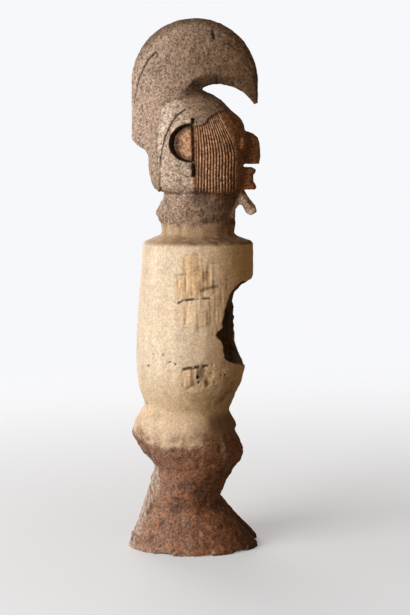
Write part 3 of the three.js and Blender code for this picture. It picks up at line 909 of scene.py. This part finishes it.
def wood_material():
    material = bpy.data.materials.new("weathered_wood")
    material.use_nodes = True
    tree = material.node_tree
    shader = tree.nodes["Principled BSDF"]
    place = node(tree, "ShaderNodeTexCoord", {}).outputs["Object"]
    tone = node(tree, "ShaderNodeAttribute", {}, attribute_name="tone").outputs["Color"]
    grain = node(tree, "ShaderNodeAttribute", {}, attribute_name="grain").outputs["Fac"]
    granules = {"Vector": place, "Scale": 430, "Detail": 3, "Roughness": 0.7, "Distortion": 0.8}
    fine = node(tree, "ShaderNodeTexNoise", granules).outputs[0]
    dust = {"Vector": place, "Scale": 1000, "Detail": 1, "Roughness": 0.6}
    finest = node(tree, "ShaderNodeTexNoise", dust).outputs[0]
    speckled = blended(tree, grain, tone, spread(tree, fine, 0.34, 0.66, 0.32, 1.75), "MULTIPLY")
    dusted = blended(tree, 0.3, speckled, spread(tree, finest, 0.3, 0.7, 0.5, 1.5), "MULTIPLY")
    tree.links.new(dusted, shader.inputs["Base Color"])
    bump = node(tree, "ShaderNodeBump", {"Strength": 0.5, "Distance": 0.0006, "Height": fine})
    tree.links.new(bump.outputs[0], shader.inputs["Normal"])
    shader.inputs["Roughness"].default_value = 0.7
    shader.inputs["Specular IOR Level"].default_value = 0.3
    return material


def build_figure():
    region, volume, belly, plain = sculpt()
    points, quads = surface(region, volume)
    normals = vertex_normals(points, quads)
    outward = sample(region, volume, points + normals * 0.5) > sample(region, volume, points - normals * 0.5)
    if outward.mean() < 0.5:
        normals, quads = -normals, quads[:, ::-1]
    points = points + normals * Traces(points, normals).height()[:, None]
    points[:, 2] = np.clip(points[:, 2], 0, HEIGHT)
    piece = bpy.data.objects.new("power_figure", figure_mesh(points, quads))
    bpy.context.scene.collection.objects.link(piece)
    reduce(piece, TRIANGLES)
    places, facing = mesh_points(piece.data)
    cavity = sample(region, box_blur(volume, 2.6), places)
    near_belly = (places > belly.corner(0)).all(1) & (places < belly.corner(1)).all(1)
    within = np.where(near_belly, sample(belly, plain, places), 0)
    tone, grain = colours(Traces(places, facing), facing, cavity, within)
    tones = piece.data.attributes.new("tone", "FLOAT_COLOR", "POINT")
    tones.data.foreach_set("color", np.insert(tone, 3, 1, axis=1).astype(np.float32).ravel())
    grains = piece.data.attributes.new("grain", "FLOAT", "POINT")
    grains.data.foreach_set("value", grain.astype(np.float32))
    piece.data.materials.clear()
    piece.data.materials.append(wood_material())
    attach(piece, "root")
    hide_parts("carved_figure")


def studio():
    """A floor that runs up into a wall all round, evenly pale away from the figure."""
    profile = [(0.0, 0.0), (0.3, 0.0), (1.0, 0.0), (2.6, 0.0)]
    profile += [(2.6 + 0.8 * math.sin(t), 0.8 - 0.8 * math.cos(t)) for t in np.linspace(0.1, math.pi / 2, 12)]
    profile += [(3.4, 3.5)]
    sides = 96
    points = [
        (r * math.cos(turn), r * math.sin(turn), z)
        for r, z in profile
        for turn in np.linspace(0, 2 * math.pi, sides, endpoint=False)
    ]
    faces = [
        (k * sides + i, k * sides + (i + 1) % sides, (k + 1) * sides + (i + 1) % sides, (k + 1) * sides + i)
        for k in range(len(profile) - 1)
        for i in range(sides)
    ]
    mesh = bpy.data.meshes.new("studio")
    mesh.from_pydata(points, [], faces)
    mesh.shade_smooth()
    floor = bpy.data.objects.new("studio", mesh)
    bpy.context.scene.collection.objects.link(floor)
    material = bpy.data.materials.new("pale_studio")
    material.use_nodes = True
    tree = material.node_tree
    tree.nodes.clear()
    place = node(tree, "ShaderNodeTexCoord", {}).outputs["Object"]
    away = node(tree, "ShaderNodeVectorMath", {0: place}, operation="LENGTH").outputs["Value"]
    lit = node(tree, "ShaderNodeBsdfDiffuse", {"Color": (0.86, 0.86, 0.87, 1)}).outputs[0]
    glow = node(tree, "ShaderNodeEmission", {"Color": (0.93, 0.935, 0.96, 1), "Strength": 1.0}).outputs[0]
    mixed = node(tree, "ShaderNodeMixShader", {0: spread(tree, away, -0.2, 1.3, 0.2), 1: lit, 2: glow})
    node(tree, "ShaderNodeOutputMaterial", {"Surface": mixed.outputs[0]})
    mesh.materials.append(material)
    floor.visible_diffuse = False
    floor.visible_glossy = False
    floor.visible_shadow = False
    floor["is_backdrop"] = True


def area_light(name, place, target, size, power, colour):
    light = bpy.data.lights.new(name, "AREA")
    light.size = size
    light.energy = power
    light.color = colour
    lamp = bpy.data.objects.new(name, light)
    lamp.location = place
    lamp.rotation_euler = (Vector(target) - Vector(place)).to_track_quat("-Z", "Y").to_euler()
    bpy.context.scene.collection.objects.link(lamp)


def lighting():
    area_light("window", (-1.2, 1.45, 0.7), (0, 0, 0.28), 1.5, 54, (0.97, 0.985, 1.0))
    area_light("fill", (-1.5, -1.3, 0.4), (0, 0, 0.28), 1.2, 3.5, (1.0, 0.72, 0.45))
    area_light("far_side", (1.6, 0.5, 0.6), (0, 0, 0.28), 1.2, 22, (1.0, 0.97, 0.93))
    world = bpy.data.worlds.new("soft_room")
    world.use_nodes = True
    world.node_tree.nodes["Background"].inputs["Color"].default_value = (1.0, 0.82, 0.64, 1)
    world.node_tree.nodes["Background"].inputs["Strength"].default_value = 0.14
    bpy.context.scene.world = world
    bpy.context.scene.view_settings.view_transform = "Standard"


def camera():
    lens = bpy.data.cameras.new("camera")
    lens.sensor_fit = "VERTICAL"
    lens.sensor_height = 36
    lens.lens = 88.24
    holder = bpy.data.objects.new("camera", lens)
    holder.location = (-1.4856, -0.0111, 0.3986)
    holder.rotation_euler = (math.radians(90 - 6.19), 0, math.radians(-90))
    bpy.context.scene.collection.objects.link(holder)
    bpy.context.scene.camera = holder


unit = (cad_box[1][2] - cad_box[0][2]) / HEIGHT
build_figure()
studio()
lighting()
camera()
boxes = [[list(corner) for corner in box] for box in (cad_box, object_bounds())]
